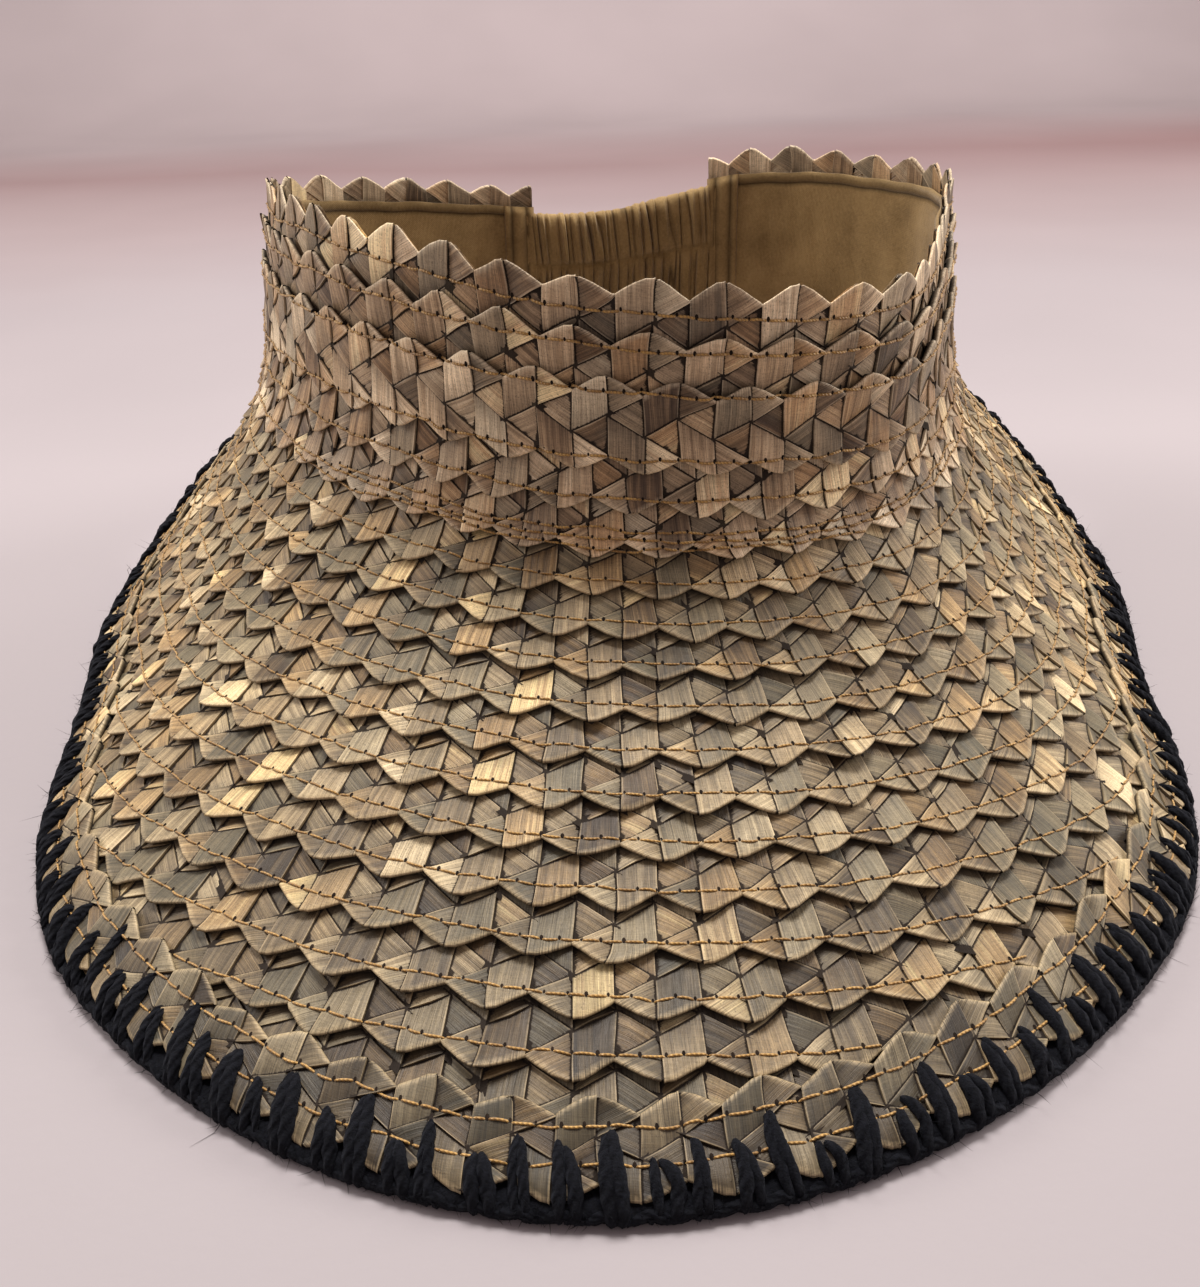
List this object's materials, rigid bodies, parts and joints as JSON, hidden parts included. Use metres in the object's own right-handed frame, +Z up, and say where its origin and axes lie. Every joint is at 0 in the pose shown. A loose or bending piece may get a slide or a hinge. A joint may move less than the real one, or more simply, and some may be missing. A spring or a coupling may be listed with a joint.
{
  "type": "straw visor",
  "caption": "Plaited palm-leaf sun visor: open crown band, wide flared brim, yarn-bound edge, cotton lining and gathered elastic at the back.",
  "frame": {"origin": "on the table, under the middle of the whole box", "axes": "+Z up, the front of the brim faces -Y, the elastic is at +Y"},
  "size_m": [0.2806, 0.3246, 0.1173],
  "materials": {
    "crown_straw": "plaited palm leaf, brown, matt with a faint sheen along the grain",
    "brim_straw": "plaited palm leaf, tan to grey-green, matt with a faint sheen along the grain",
    "khaki_cotton": "khaki cotton twill, matt",
    "black_wool": "near-black wool yarn, fuzzy"
  },
  "bodies": {
    "root": {"crown_band": "crown_straw", "crown_middle_braid": "crown_straw", "crown_lining": "khaki_cotton", "brim": "brim_straw", "border_braid": "brim_straw", "edge_yarn": "black_wool", "elastic_casing": "khaki_cotton"}
  },
  "joints": []
}
